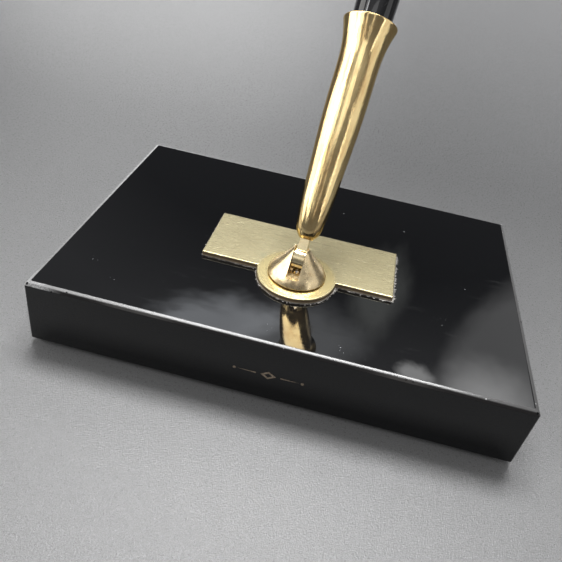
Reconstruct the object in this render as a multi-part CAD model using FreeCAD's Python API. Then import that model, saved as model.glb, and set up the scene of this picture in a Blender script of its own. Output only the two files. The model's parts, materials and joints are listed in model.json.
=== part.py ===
import FreeCAD, Part
import math
import os

# Desk pen stand: a black glass slab carries a brass name plate. A turret spins on the plate's round lobe,
# a trumpet socket tilts in the turret's slot, and a desk pen stands in the socket.
#
# Frame: millimetres, origin under the middle of the base, +X right, +Y to the back, +Z up.
# The socket and the pen are drawn upright on their own axis, with the height called s counted from the
# tilt pin, and are then leaned back and turned to where they rest.

V = FreeCAD.Vector
UP = V(0, 0, 1)

# ---- driving dimensions -------------------------------------------------------------------------

SLAB_WIDTH = 146.0
SLAB_DEPTH = 101.6
SLAB_HEIGHT = 21.4
SLAB_TOP_BEVEL = 1.2
SLAB_CORNER_BEVEL = 0.4
SLAB_FOOT_BEVEL = 0.4

FELT_HEIGHT = 1.5
FELT_INSET = 3.5
FELT_CORNER_RADIUS = 4.0

PLATE_WIDTH = 62.0
PLATE_DEPTH = 25.4
PLATE_HEIGHT = 1.4
PLATE_BEVEL = 0.3
LOBE_RADIUS = 12.7
ADHESIVE_HEIGHT = 0.15
ADHESIVE_INSET = 0.3

SWIVEL_Y = -18.0
SWIVEL_YAW = 5.5
SOCKET_LEAN = 34.5

THRUST_WASHER_RADIUS = 8.6
THRUST_WASHER_HEIGHT = 0.25
BELL_RADIUS = 9.2
BELL_HEIGHT = 9.8
BELL_ROUND = 0.5
EAR_RADIUS = 2.6
PIVOT_HEIGHT = 30.1
SLOT_WIDTH = 3.9
SLOT_FLOOR = 27.4
POCKET_RADIUS = 4.8

STEM_RADIUS = 3.0
STEM_FOOT = 1.9
STEM_BORE_FOOT = 13.0
THREAD_PITCH = 0.8
THREAD_DEPTH = 0.3
THREAD_TOP = 8.7
RUNNING_GAP = 0.05
SEAT_GAP = 0.02

BUSH_RADIUS = 4.4
WELL_RADIUS = 13.0
WELL_TOP = 10.5
FIBRE_WASHER_RADIUS = 10.0
FIBRE_WASHER_HEIGHT = 1.0
STEEL_WASHER_RADIUS = 7.0
STEEL_WASHER_HEIGHT = 0.8
DISH_WASHER_RADIUS = 5.6
DISH_WASHER_THICKNESS = 0.4
DISH_WASHER_HEIGHT = 1.0
NUT_FLATS = 10.0
NUT_CORNER_SHARE = 0.12
CLAMP_NUT_HEIGHT = 3.0
LOCK_NUT_HEIGHT = 2.2

PIN_RADIUS = 1.0
KNUCKLE_RADIUS = 3.3
KNUCKLE_WIDTH = 3.5
BALL_RADIUS = 1.5
SPRING_RADIUS = 1.05
SPRING_WIRE_RADIUS = 0.15
SPRING_TURNS = 9

SHANK_TOP = 6.5
SHANK_TOP_WIDTH = 2.8
SHANK_TOP_DEPTH = 3.0
SPIGOT_RADIUS = 1.5
SPIGOT_TOP = 11.9
SHELL_WALL = 0.55
SHELL_FLOOR = 8.9
SHELL_MOUTH = 74.0
SHELL_RIM = 0.15
SHELL_NUT_FLATS = 4.6
SHELL_NUT_HEIGHT = 2.0
SHELL_WASHER_RADIUS = 2.5
SHELL_WASHER_HEIGHT = 0.4

# Outside of the trumpet, from its closed end to its mouth: (radius, s)
TRUMPET = [(2.0, 6.5), (3.35, 8.2), (4.2, 11.2), (4.95, 18.0), (5.6, 30.0),
           (6.3, 46.0), (6.4, 58.0), (7.0, 68.0), (8.5, SHELL_MOUTH)]

LINER_FOOT = 12.8
LINER_FOOT_RADIUS = 3.4
LINER_TOP = 60.0
LINER_FLOOR = 1.0
LINER_SLEEVE_RADIUS = 4.15
LINER_SLEEVE_TOP = 40.0
LINER_MOUTH_RADIUS = 5.4
NIB_CHAMBER_RADIUS = 3.3
SEAL_FOOT = 60.1
SEAL_TOP = 62.0
SEAL_WALL = 0.25

NIB_TIP = 14.5
PEN_SEAT = 32.0
SECTION_TOP = 52.2
SECTION_LIP_RADIUS = 3.95
SECTION_LIP_ROUND = 0.5
SECTION_WAIST = 37.0
SECTION_WAIST_RADIUS = 3.7
SECTION_TOP_RADIUS = 4.65
SECTION_BORE = 3.2
SECTION_THROAT = 2.0
TENON_RADIUS = 3.9
TENON_TOP = 59.0
RING_RADIUS = 4.72
BARREL_FOOT = 53.0
BARREL_TOP = 182.0
BARREL_BORE = 3.5
BARREL_BORE_FOOT = 60.0
BARREL_BORE_TOP = 112.0

# Outside of the barrel, from the ring to the round end of its tail: (radius, s)
BARREL = [(4.75, BARREL_FOOT), (6.1, 74.0), (6.55, 92.0), (5.9, 122.0), (4.1, 154.0), (2.3, 180.0)]

NIB_WALL = 0.28
NIB_TIP_RADIUS = 0.75
NIB_SHOULDER = 26.0
NIB_ROOT = 44.0
NIB_HALF_WIDTH = 2.9
NIB_HOLE_RADIUS = 0.55
NIB_HOLE_S = 25.0
NIB_SLIT = 0.14
FEED_RADIUS = 2.85
FEED_TIP = 17.5
FEED_TIP_RADIUS = 0.9
FEED_SHOULDER = 29.0
FEED_FINS = 9
FEED_FIN_TOP = 31.0
FEED_FIN_PITCH = 1.3
FEED_FIN_GAP = 0.55
FEED_TUBE_RADIUS = 0.9
FEED_TUBE_TOP = 56.5
FEED_TUBE_POINT = 1.0
CARTRIDGE_RADIUS = 3.2
CARTRIDGE_NECK = 1.7
CARTRIDGE_FOOT = 53.5
CARTRIDGE_SHOULDER = 60.0
CARTRIDGE_SLOPE = 1.5
CARTRIDGE_TOP = 98.0
CARTRIDGE_WALL = 0.5

# ---- heights that follow ------------------------------------------------------------------------

SLAB_TOP = FELT_HEIGHT + SLAB_HEIGHT
PLATE_FOOT = SLAB_TOP + ADHESIVE_HEIGHT
PLATE_TOP = PLATE_FOOT + PLATE_HEIGHT
BELL_FOOT = PLATE_TOP + THRUST_WASHER_HEIGHT
BELL_TOP = BELL_FOOT + BELL_HEIGHT
FIBRE_WASHER_FOOT = WELL_TOP - FIBRE_WASHER_HEIGHT
STEEL_WASHER_FOOT = FIBRE_WASHER_FOOT - STEEL_WASHER_HEIGHT
DISH_WASHER_FOOT = STEEL_WASHER_FOOT - DISH_WASHER_HEIGHT
CLAMP_NUT_FOOT = DISH_WASHER_FOOT - CLAMP_NUT_HEIGHT
LOCK_NUT_FOOT = CLAMP_NUT_FOOT - LOCK_NUT_HEIGHT
BALL_HEIGHT = PIVOT_HEIGHT - KNUCKLE_RADIUS - BALL_RADIUS - SEAT_GAP

# Flank of the bell, from above its rounded foot to below its rounded ears: (radius, height)
BELL_FLANK = [(BELL_RADIUS, BELL_FOOT + BELL_ROUND), (8.5, 26.5), (6.9, 28.5), (5.2, 30.5), (3.6, 32.5),
              (EAR_RADIUS, BELL_TOP - BELL_ROUND)]

TURRET_PLACE = FreeCAD.Placement(V(0, SWIVEL_Y, 0), FreeCAD.Rotation(UP, -SWIVEL_YAW))
LEAN_PLACE = FreeCAD.Placement(V(0, 0, PIVOT_HEIGHT), FreeCAD.Rotation(V(1, 0, 0), -SOCKET_LEAN))
SOCKET_PLACE = TURRET_PLACE.multiply(LEAN_PLACE)


# ---- shape helpers ------------------------------------------------------------------------------

class Section:
    """Half section in the XZ plane, turned about Z: each point is (radius, height)."""

    def __init__(self, radius, height):
        self.start = V(radius, 0, height)
        self.here = self.start
        self.edges = []

    def line(self, radius, height):
        end = V(radius, 0, height)
        self.edges.append(Part.makeLine(self.here, end))
        self.here = end
        return self

    def arc(self, middle, end):
        through = V(middle[0], 0, middle[1])
        last = V(end[0], 0, end[1])
        self.edges.append(Part.Arc(self.here, through, last).toShape())
        self.here = last
        return self

    def round_corner(self, corner, end):
        """Quarter turn from here to the end, bulging toward the corner."""
        share = 1 - 1 / math.sqrt(2)
        across = corner[0] + share * (self.here.x + end[0] - 2 * corner[0])
        along = corner[1] + share * (self.here.z + end[1] - 2 * corner[1])
        return self.arc((across, along), end)

    def curve(self, points):
        """Smooth curve through the points, the first of which is where the section has got to."""
        spline = Part.BSplineCurve()
        spline.interpolate([V(radius, 0, height) for radius, height in points])
        self.edges.append(spline.toShape())
        self.here = V(points[-1][0], 0, points[-1][1])
        return self

    def round_end(self, top):
        """Spherical end that closes the section on the axis."""
        rise = top - self.here.z
        radius = (self.here.x ** 2 + rise ** 2) / (2 * rise)
        half_angle = math.atan2(self.here.x, self.here.z - top + radius) / 2
        middle = (radius * math.sin(half_angle), top - radius + radius * math.cos(half_angle))
        return self.arc(middle, (0, top))

    def turned(self):
        if self.here.distanceToPoint(self.start) > 0:
            self.line(self.start.x, self.start.z)
        face = Part.Face(Part.Wire(self.edges))
        return face.revolve(V(0, 0, 0), UP, 360)


def rod(radius, foot, top):
    return Part.makeCylinder(radius, top - foot, V(0, 0, foot))


def tube(inner, outer, foot, top):
    return rod(outer, foot, top).cut(rod(inner, foot, top))


def cross_rod(radius, half_length):
    """Cylinder along X, centred on the origin."""
    return Part.makeCylinder(radius, 2 * half_length, V(-half_length, 0, 0), V(1, 0, 0))


def block(width, depth, foot, top):
    return Part.makeBox(width, depth, top - foot, V(-width / 2, -depth / 2, foot))


def upright_edges(shape):
    return [edge for edge in shape.Edges if abs(edge.tangentAt(0).z) > 0.5]


def rectangle(width, depth, height):
    x = width / 2
    y = depth / 2
    corners = [V(-x, -y, height), V(x, -y, height), V(x, y, height), V(-x, y, height)]
    return Part.makePolygon(corners + corners[:1])


def hex_nut(flats, bore, foot, top):
    """Hexagon nut with its corners turned off at both faces."""
    corner = flats / math.sqrt(3)
    turned_off = NUT_CORNER_SHARE * flats
    angles = [k * math.pi / 3 for k in range(7)]
    corners = [V(corner * math.cos(angle), corner * math.sin(angle), foot) for angle in angles]
    prism = Part.Face(Part.makePolygon(corners)).extrude(V(0, 0, top - foot))
    slope = turned_off * math.tan(math.radians(30))
    flat = corner - turned_off
    dome = Section(0, foot).line(flat, foot).line(corner, foot + slope).line(corner, top - slope)
    dome.line(flat, top).line(0, top)
    return prism.common(dome.turned()).cut(rod(bore, foot, top))


def add_thread(section, radius, foot, top):
    """Ring-grooved stretch that stands for a thread, from foot up to top."""
    turns = int((top - foot) / THREAD_PITCH)
    section.line(radius, foot)
    for turn in range(turns):
        crest = foot + turn * THREAD_PITCH
        section.line(radius - THREAD_DEPTH, crest + THREAD_PITCH / 2)
        section.line(radius, crest + THREAD_PITCH)
    return section


def on_turret(shape):
    shape.Placement = TURRET_PLACE.multiply(shape.Placement)
    return shape


def on_socket(shape):
    shape.Placement = SOCKET_PLACE.multiply(shape.Placement)
    return shape


# ---- base: slab, felt, plate and what lines the hole --------------------------------------------

def base_slab():
    """Glass slab, bevelled all round, with a hole and a well from below for the swivel's nuts."""
    blank = block(SLAB_WIDTH, SLAB_DEPTH, FELT_HEIGHT, SLAB_TOP)
    top_edges = [edge for edge in blank.Edges if edge.BoundBox.ZMin > SLAB_TOP - SEAT_GAP]
    slab = blank.makeChamfer(SLAB_TOP_BEVEL, top_edges)
    foot_edges = [edge for edge in slab.Edges if edge.BoundBox.ZMax < FELT_HEIGHT + SEAT_GAP]
    slab = slab.makeChamfer(SLAB_FOOT_BEVEL, foot_edges)
    slab = slab.common(blank.makeChamfer(SLAB_CORNER_BEVEL, upright_edges(blank)))
    hole = rod(BUSH_RADIUS + SEAT_GAP, FELT_HEIGHT, SLAB_TOP)
    well = rod(WELL_RADIUS, FELT_HEIGHT, WELL_TOP)
    hole.translate(V(0, SWIVEL_Y, 0))
    well.translate(V(0, SWIVEL_Y, 0))
    return slab.cut(hole).cut(well)


def base_felt():
    """Felt sheet under the slab, which closes the well."""
    felt = block(SLAB_WIDTH - 2 * FELT_INSET, SLAB_DEPTH - 2 * FELT_INSET, 0, FELT_HEIGHT)
    return felt.makeFillet(FELT_CORNER_RADIUS, upright_edges(felt))


def plate_blank(inset, foot, top):
    """Oblong with a half-round lobe in the middle of its front edge, drawn smaller by the inset."""
    half = PLATE_WIDTH / 2 - inset
    back = SWIVEL_Y + PLATE_DEPTH - inset
    front = SWIVEL_Y + inset
    lobe = LOBE_RADIUS - inset
    lobe_half = math.sqrt(lobe ** 2 - inset ** 2)
    corners = [V(lobe_half, front, foot), V(half, front, foot), V(half, back, foot),
               V(-half, back, foot), V(-half, front, foot), V(-lobe_half, front, foot)]
    lobe_arc = Part.Arc(corners[-1], V(0, SWIVEL_Y - lobe, foot), corners[0]).toShape()
    outline = Part.Wire(Part.makePolygon(corners).Edges + [lobe_arc])
    return Part.Face(outline).extrude(V(0, 0, top - foot))


def bush_hole():
    hole = rod(BUSH_RADIUS + SEAT_GAP, SLAB_TOP, PLATE_TOP)
    hole.translate(V(0, SWIVEL_Y, 0))
    return hole


def plate_adhesive():
    return plate_blank(ADHESIVE_INSET, SLAB_TOP, PLATE_FOOT).cut(bush_hole())


def name_plate():
    plate = plate_blank(0, PLATE_FOOT, PLATE_TOP)
    top_edges = [edge for edge in plate.Edges if edge.BoundBox.ZMin > PLATE_TOP - SEAT_GAP]
    return plate.makeChamfer(PLATE_BEVEL, top_edges).cut(bush_hole())


def swivel_bush():
    return on_turret(tube(STEM_RADIUS + RUNNING_GAP, BUSH_RADIUS, WELL_TOP, PLATE_TOP))


def thrust_washer():
    return on_turret(tube(BUSH_RADIUS, THRUST_WASHER_RADIUS, PLATE_TOP, BELL_FOOT))


def fibre_washer():
    return on_turret(tube(STEM_RADIUS + RUNNING_GAP, FIBRE_WASHER_RADIUS, FIBRE_WASHER_FOOT, WELL_TOP))


# ---- turret: bell, stem and what spins with it --------------------------------------------------

def bell_section():
    """Bell with its foot rounded under, its flank swept in to two thin ears, and a threaded stem below."""
    section = Section(0, STEM_FOOT).line(STEM_RADIUS - THREAD_DEPTH, STEM_FOOT)
    add_thread(section, STEM_RADIUS, STEM_FOOT + THREAD_DEPTH, THREAD_TOP)
    section.line(STEM_RADIUS, BELL_FOOT).line(BELL_RADIUS - BELL_ROUND, BELL_FOOT)
    section.round_corner((BELL_RADIUS, BELL_FOOT), BELL_FLANK[0]).curve(BELL_FLANK)
    section.round_corner((EAR_RADIUS, BELL_TOP), (EAR_RADIUS - BELL_ROUND, BELL_TOP))
    return section.line(0, BELL_TOP)


def swivel_turret():
    bell = bell_section().turned()
    slot = block(SLOT_WIDTH, 3 * BELL_RADIUS, SLOT_FLOOR, BELL_TOP + BELL_RADIUS)
    pocket = cross_rod(POCKET_RADIUS, SLOT_WIDTH / 2)
    pin_hole = cross_rod(PIN_RADIUS, BELL_RADIUS)
    for cutter in (pocket, pin_hole):
        cutter.translate(V(0, 0, PIVOT_HEIGHT))
    ball_bore = rod(BALL_RADIUS + RUNNING_GAP, STEM_BORE_FOOT, PIVOT_HEIGHT)
    return on_turret(bell.cut(slot).cut(pocket).cut(pin_hole).cut(ball_bore))


def pivot_pin():
    """Cross pin, its ends dressed flush with the bell's flank."""
    pin = cross_rod(PIN_RADIUS - SEAT_GAP / 2, BELL_RADIUS)
    pin.translate(V(0, 0, PIVOT_HEIGHT))
    return on_turret(pin.common(bell_section().turned()))


def friction_ball():
    return on_turret(Part.makeSphere(BALL_RADIUS, V(0, 0, BALL_HEIGHT)))


def friction_spring():
    """Coil spring under the ball, in the stem's bore."""
    foot = STEM_BORE_FOOT + SPRING_WIRE_RADIUS + SEAT_GAP
    ball_drop = math.sqrt((BALL_RADIUS + SPRING_WIRE_RADIUS) ** 2 - SPRING_RADIUS ** 2)
    length = BALL_HEIGHT - ball_drop - RUNNING_GAP - foot
    helix = Part.makeHelix(length / SPRING_TURNS, length, SPRING_RADIUS)
    wire_end = Part.Wire(Part.makeCircle(SPRING_WIRE_RADIUS, V(SPRING_RADIUS, 0, 0), V(0, 1, 0)))
    coil = Part.Wire(helix.Edges).makePipeShell([wire_end], True, True)
    coil.translate(V(0, 0, foot))
    return on_turret(coil)


def steel_washer():
    return on_turret(tube(STEM_RADIUS + SEAT_GAP, STEEL_WASHER_RADIUS, STEEL_WASHER_FOOT, FIBRE_WASHER_FOOT))


def dished_washer():
    """Dished spring washer: it rests on the nut at its rim and on the steel washer at its hole."""
    inner = STEM_RADIUS + 4 * RUNNING_GAP
    top = STEEL_WASHER_FOOT
    dish = Section(inner, top - DISH_WASHER_THICKNESS).line(DISH_WASHER_RADIUS, DISH_WASHER_FOOT)
    dish.line(DISH_WASHER_RADIUS, DISH_WASHER_FOOT + DISH_WASHER_THICKNESS).line(inner, top)
    return on_turret(dish.turned())


def clamp_nut():
    return on_turret(hex_nut(NUT_FLATS, STEM_RADIUS + SEAT_GAP, CLAMP_NUT_FOOT, DISH_WASHER_FOOT))


def lock_nut():
    return on_turret(hex_nut(NUT_FLATS, STEM_RADIUS + SEAT_GAP, LOCK_NUT_FOOT, CLAMP_NUT_FOOT))


# ---- socket: tongue, trumpet and its lining -----------------------------------------------------

def tongue():
    """Round knuckle on the pin, a tapered square shank, and a threaded spigot into the trumpet."""
    knuckle = cross_rod(KNUCKLE_RADIUS, KNUCKLE_WIDTH / 2)
    foot = rectangle(KNUCKLE_WIDTH, KNUCKLE_WIDTH, 0)
    top = rectangle(SHANK_TOP_WIDTH, SHANK_TOP_DEPTH, SHANK_TOP)
    shank = Part.makeLoft([foot, top], True, True)
    spigot = Section(0, SHANK_TOP).line(SPIGOT_RADIUS, SHANK_TOP)
    add_thread(spigot, SPIGOT_RADIUS, SHELL_FLOOR, SPIGOT_TOP - THREAD_DEPTH)
    spigot.line(SPIGOT_RADIUS - THREAD_DEPTH, SPIGOT_TOP).line(0, SPIGOT_TOP)
    pin_hole = cross_rod(PIN_RADIUS + RUNNING_GAP, KNUCKLE_WIDTH)
    return on_socket(knuckle.fuse(shank).fuse(spigot.turned()).removeSplitter().cut(pin_hole))


def trumpet_bore():
    """Inside of the trumpet, the same curve as its outside and one wall smaller: (radius, s)"""
    curve = [(radius - SHELL_WALL, s) for radius, s in TRUMPET[2:]]
    return [(TRUMPET[1][0] - SHELL_WALL, SHELL_FLOOR)] + curve


def socket_shell():
    bore = trumpet_bore()
    shell = Section(SPIGOT_RADIUS + SEAT_GAP, SHANK_TOP).line(*TRUMPET[0]).curve(TRUMPET)
    shell.arc((TRUMPET[-1][0] - SHELL_WALL / 2, SHELL_MOUTH + SHELL_RIM), bore[-1])
    shell.curve(bore[::-1]).line(SPIGOT_RADIUS + SEAT_GAP, SHELL_FLOOR)
    return on_socket(shell.turned())


def shell_washer():
    top = SHELL_FLOOR + SHELL_WASHER_HEIGHT
    return on_socket(tube(SPIGOT_RADIUS + SEAT_GAP, SHELL_WASHER_RADIUS, SHELL_FLOOR, top))


def shell_nut():
    foot = SHELL_FLOOR + SHELL_WASHER_HEIGHT
    return on_socket(hex_nut(SHELL_NUT_FLATS, SPIGOT_RADIUS + SEAT_GAP, foot, foot + SHELL_NUT_HEIGHT))


def liner_outside():
    """Outside of the liner: straight chords inside the trumpet's bore, which bulges past them: (radius, s)"""
    gap = 2 * RUNNING_GAP
    chords = [(radius - gap, s) for radius, s in trumpet_bore() if LINER_FOOT < s < LINER_TOP]
    return [(LINER_FOOT_RADIUS, LINER_FOOT)] + chords + [(chords[-1][0], LINER_TOP)]


def socket_liner():
    """Moulded cup: a chamber round the nib, a seat for the pen's grip, and a sleeve opening upward."""
    liner = Section(0, LINER_FOOT)
    for radius, s in liner_outside():
        liner.line(radius, s)
    liner.line(LINER_MOUTH_RADIUS, LINER_TOP).line(LINER_SLEEVE_RADIUS, LINER_SLEEVE_TOP)
    liner.line(LINER_SLEEVE_RADIUS, PEN_SEAT).line(NIB_CHAMBER_RADIUS, PEN_SEAT)
    liner.line(NIB_CHAMBER_RADIUS, LINER_FOOT + LINER_FLOOR).line(0, LINER_FOOT + LINER_FLOOR)
    return on_socket(liner.turned())


def liner_seal():
    """Rubber ring on the liner's mouth, held out against the trumpet's bore."""
    outer = TRUMPET[-3][0] - SHELL_WALL - RUNNING_GAP
    return on_socket(tube(outer - SEAL_WALL, outer, SEAL_FOOT, SEAL_TOP))


# ---- pen ----------------------------------------------------------------------------------------

def pen_section():
    """Waisted grip with a rounded lip, bored for the nib and feed, and a tenon into the barrel."""
    lip = (SECTION_LIP_RADIUS, PEN_SEAT + SECTION_LIP_ROUND)
    grip = Section(SECTION_BORE, PEN_SEAT).line(SECTION_LIP_RADIUS - SECTION_LIP_ROUND, PEN_SEAT)
    grip.round_corner((SECTION_LIP_RADIUS, PEN_SEAT), lip)
    grip.curve([lip, (SECTION_WAIST_RADIUS, SECTION_WAIST), (SECTION_TOP_RADIUS, SECTION_TOP)])
    grip.line(TENON_RADIUS, SECTION_TOP).line(TENON_RADIUS, TENON_TOP).line(SECTION_THROAT, TENON_TOP)
    grip.line(SECTION_THROAT, NIB_ROOT).line(SECTION_BORE, NIB_ROOT)
    return on_socket(grip.turned())


def trim_ring():
    return on_socket(tube(TENON_RADIUS + SEAT_GAP, RING_RADIUS, SECTION_TOP, BARREL_FOOT))


def pen_barrel():
    """Cigar-shaped barrel that swells above the socket and draws out to a long round-ended tail."""
    tenon_bore = TENON_RADIUS + SEAT_GAP
    barrel = Section(tenon_bore, BARREL_FOOT).line(*BARREL[0]).curve(BARREL)
    barrel.round_end(BARREL_TOP).line(0, BARREL_BORE_TOP)
    barrel.line(BARREL_BORE, BARREL_BORE_TOP - BARREL_BORE).line(BARREL_BORE, BARREL_BORE_FOOT)
    barrel.line(tenon_bore, BARREL_BORE_FOOT)
    return on_socket(barrel.turned())


def nib_cone(radius_at_root, radius_at_tip):
    """Cone over the nib's free length and a cylinder over the length held in the grip."""
    cone = Section(0, NIB_TIP).line(radius_at_tip, NIB_TIP).line(radius_at_root, PEN_SEAT)
    return cone.line(radius_at_root, NIB_ROOT).line(0, NIB_ROOT).turned()


def pen_nib():
    """Curved sheet on the front of the feed, narrowed to a point, with a slit and a breather hole."""
    outer = SECTION_BORE - SEAT_GAP
    sheet = nib_cone(outer, NIB_TIP_RADIUS).cut(nib_cone(outer - NIB_WALL, NIB_TIP_RADIUS - NIB_WALL))
    root = NIB_HALF_WIDTH
    tip = NIB_TIP_RADIUS / 2
    shoulders = [V(-tip, 0, NIB_TIP), V(tip, 0, NIB_TIP), V(root, 0, NIB_SHOULDER), V(root, 0, NIB_ROOT),
                 V(-root, 0, NIB_ROOT), V(-root, 0, NIB_SHOULDER)]
    blank = Part.Face(Part.makePolygon(shoulders + shoulders[:1])).extrude(V(0, -2 * SECTION_BORE, 0))
    hole = Part.makeCylinder(NIB_HOLE_RADIUS, 2 * SECTION_BORE, V(0, 0, NIB_HOLE_S), V(0, -1, 0))
    slit = Part.makeBox(NIB_SLIT, 2 * SECTION_BORE, NIB_HOLE_S - NIB_TIP,
                        V(-NIB_SLIT / 2, -2 * SECTION_BORE, NIB_TIP))
    return on_socket(sheet.common(blank).cut(hole).cut(slit))


def pen_feed():
    """Tapered feed behind the nib, with combed fins and a tube that pierces the cartridge."""
    wall = NIB_WALL + SEAT_GAP
    limit = nib_cone(SECTION_BORE - wall - SEAT_GAP, NIB_TIP_RADIUS - wall)
    feed = Section(0, FEED_TIP).line(FEED_TIP_RADIUS, FEED_TIP).line(FEED_RADIUS, FEED_SHOULDER)
    feed.line(FEED_RADIUS, NIB_ROOT - SEAT_GAP).line(FEED_TUBE_RADIUS, NIB_ROOT - SEAT_GAP)
    feed.line(FEED_TUBE_RADIUS, FEED_TUBE_TOP - FEED_TUBE_POINT).line(0, FEED_TUBE_TOP)
    shape = feed.turned().common(limit.fuse(rod(FEED_TUBE_RADIUS, PEN_SEAT, FEED_TUBE_TOP)))
    for fin in range(FEED_FINS):
        low = FEED_FIN_TOP - (fin + 1) * FEED_FIN_PITCH
        comb = block(4 * FEED_RADIUS, FEED_RADIUS, low, low + FEED_FIN_GAP)
        comb.translate(V(0, FEED_RADIUS, 0))
        shape = shape.cut(comb)
    return on_socket(shape)


def ink_cartridge():
    """Closed plastic bottle, pushed neck first onto the feed's tube."""
    wall = CARTRIDGE_WALL
    slope_top = CARTRIDGE_SHOULDER + CARTRIDGE_SLOPE
    bottle = Section(FEED_TUBE_RADIUS + SEAT_GAP, CARTRIDGE_FOOT).line(CARTRIDGE_NECK, CARTRIDGE_FOOT)
    bottle.line(CARTRIDGE_NECK, CARTRIDGE_SHOULDER).line(CARTRIDGE_RADIUS, slope_top)
    bottle.line(CARTRIDGE_RADIUS, CARTRIDGE_TOP).line(0, CARTRIDGE_TOP).line(0, CARTRIDGE_TOP - wall)
    bottle.line(CARTRIDGE_RADIUS - wall, CARTRIDGE_TOP - wall).line(CARTRIDGE_RADIUS - wall, slope_top + wall)
    bottle.line(FEED_TUBE_RADIUS + SEAT_GAP, CARTRIDGE_SHOULDER + wall)
    return on_socket(bottle.turned())


# ---- write one file per piece -------------------------------------------------------------------

PIECES = [
    base_slab, base_felt, plate_adhesive, name_plate, swivel_bush, thrust_washer, fibre_washer,
    swivel_turret, pivot_pin, friction_ball, friction_spring,
    steel_washer, dished_washer, clamp_nut, lock_nut,
    tongue, socket_shell, shell_washer, shell_nut, socket_liner, liner_seal,
    pen_section, trim_ring, pen_barrel, pen_nib, pen_feed, ink_cartridge,
]


def main():
    os.makedirs("parts", exist_ok=True)
    for piece in PIECES:
        shape = piece()
        name = piece.__name__
        print(f"{name:16s} solids {len(shape.Solids)}  valid {shape.isValid()}  mm3 {shape.Volume:.2f}")
        shape.exportStep(f"parts/{name}.step")


main()
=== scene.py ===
"""Looks of the desk pen stand: a black glass slab, a brass plate with a swivel turret, and a gilt trumpet
socket that holds a black desk pen.

Pieces are drawn in millimetres in the frame of the body that they belong to, and are then put in place:
BASE is the row frame, TURRET stands on the swivel's axis, and SOCKET has its Z along the pen and its
origin on the tilt pin. Every mesh keeps its own millimetres in the attribute "spot", which the
materials read, so a pattern follows its piece.
"""

import json
import math

import bmesh
import bpy
import numpy as np
from mathutils import Euler, Matrix, Vector, noise


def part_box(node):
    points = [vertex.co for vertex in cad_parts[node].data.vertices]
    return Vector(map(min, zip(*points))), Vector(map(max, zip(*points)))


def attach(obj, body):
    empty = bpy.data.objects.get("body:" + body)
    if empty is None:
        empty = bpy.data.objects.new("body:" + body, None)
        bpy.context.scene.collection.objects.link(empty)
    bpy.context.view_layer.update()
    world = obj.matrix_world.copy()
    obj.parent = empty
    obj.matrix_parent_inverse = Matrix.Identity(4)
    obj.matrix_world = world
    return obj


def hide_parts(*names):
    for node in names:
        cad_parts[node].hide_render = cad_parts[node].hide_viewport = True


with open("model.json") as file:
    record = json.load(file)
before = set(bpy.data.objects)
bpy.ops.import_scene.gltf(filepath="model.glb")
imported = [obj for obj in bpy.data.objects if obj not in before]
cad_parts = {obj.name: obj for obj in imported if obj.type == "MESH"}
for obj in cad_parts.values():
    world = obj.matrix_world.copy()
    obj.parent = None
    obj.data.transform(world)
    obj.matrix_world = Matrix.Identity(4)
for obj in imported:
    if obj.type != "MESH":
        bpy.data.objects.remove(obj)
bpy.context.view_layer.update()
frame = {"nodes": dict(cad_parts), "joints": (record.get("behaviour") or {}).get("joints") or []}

# ---- frames -------------------------------------------------------------------------------------

MM = 0.001
UP = Vector((0, 0, 1))
JOINTS = {joint["name"]: joint for joint in frame["joints"]}
SIDE = -Vector(JOINTS["socket_tilt"]["axis"])
PEN_AXIS = Vector(JOINTS["pen_slide"]["axis"])
PIVOT = Vector(JOINTS["socket_tilt"]["pos_m"])
SWIVEL = Vector(JOINTS["turret_spin"]["pos_m"])


def frame_at(origin, side, axis):
    """Millimetre frame with its origin there, X along side and Z along axis."""
    turn = Matrix((side, axis.cross(side), axis)).transposed().to_4x4()
    return Matrix.Translation(origin) @ turn @ Matrix.Scale(MM, 4)


BASE = Matrix.Scale(MM, 4)
TURRET = frame_at(Vector((SWIVEL.x, SWIVEL.y, 0)), SIDE, UP)
SOCKET = frame_at(PIVOT, SIDE, PEN_AXIS)


def box_mm(node):
    """Lowest and highest corner of a CAD node, in millimetres."""
    low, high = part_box(node)
    return low / MM, high / MM


SLAB_LOW, SLAB_HIGH = box_mm("base_slab")
FELT_LOW, FELT_HIGH = box_mm("base_felt")
PLATE_LOW, PLATE_HIGH = box_mm("name_plate")
BELL_FOOT = box_mm("thrust_washer")[1].z
BELL_TOP = box_mm("swivel_turret")[1].z
STEM_FOOT = box_mm("swivel_turret")[0].z
PIVOT_HEIGHT = PIVOT.z / MM
SWIVEL_Y = SWIVEL.y / MM

# ---- dimensions, in millimetres and degrees -----------------------------------------------------

SEGMENTS = 192       # faces round a turned piece
ON_AXIS = 1e-6       # a radius below this is on the axis
WELD = 0.002         # vertices nearer than this become one
CLEARANCE = 0.02     # gap round a piece that sits in another
OVERCUT = 1.0        # how far a cutter reaches past the faces that it cuts

SLAB_CORNER_BEVEL = 0.4
SLAB_FOOT_BEVEL = 0.4
SLAB_ROLL_RADIUS = 6.0
SLAB_ROLL_TILTS = (10.5, 19)
SLAB_FACET_WIDTH = 0.62
SLAB_FACET_TILT = 52
ARRIS = 0.14
SLAB_CREASE = 9
SQUARE_ON = 0.999    # largest part of a face's normal, above which it is a face and not a bevel
CHIP_LUMPS = 1.3     # lumps to a pebble's radius, and how far they stand out of it
CHIP_ROUGHNESS = 0.45
WELL_RADIUS = 13.0
WELL_TOP = 10.5
BUSH_HOLE = 4.42

FELT_CORNER_RADIUS = 4.0
FELT_EDGE = 0.3
FELT_RAGGED = 0.12
PLATE_CORNER = 0.35
LOBE_STEPS = 96
PLATE_ROUND = 0.36
LOBE_RADIUS = 12.7

# Glue squeezed out round the plate: spacing of its rings, reach under the plate, and least size
GLUE_SPACING = 0.11
GLUE_UNDER = 1.0
GLUE_LEAST = 0.03

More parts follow.
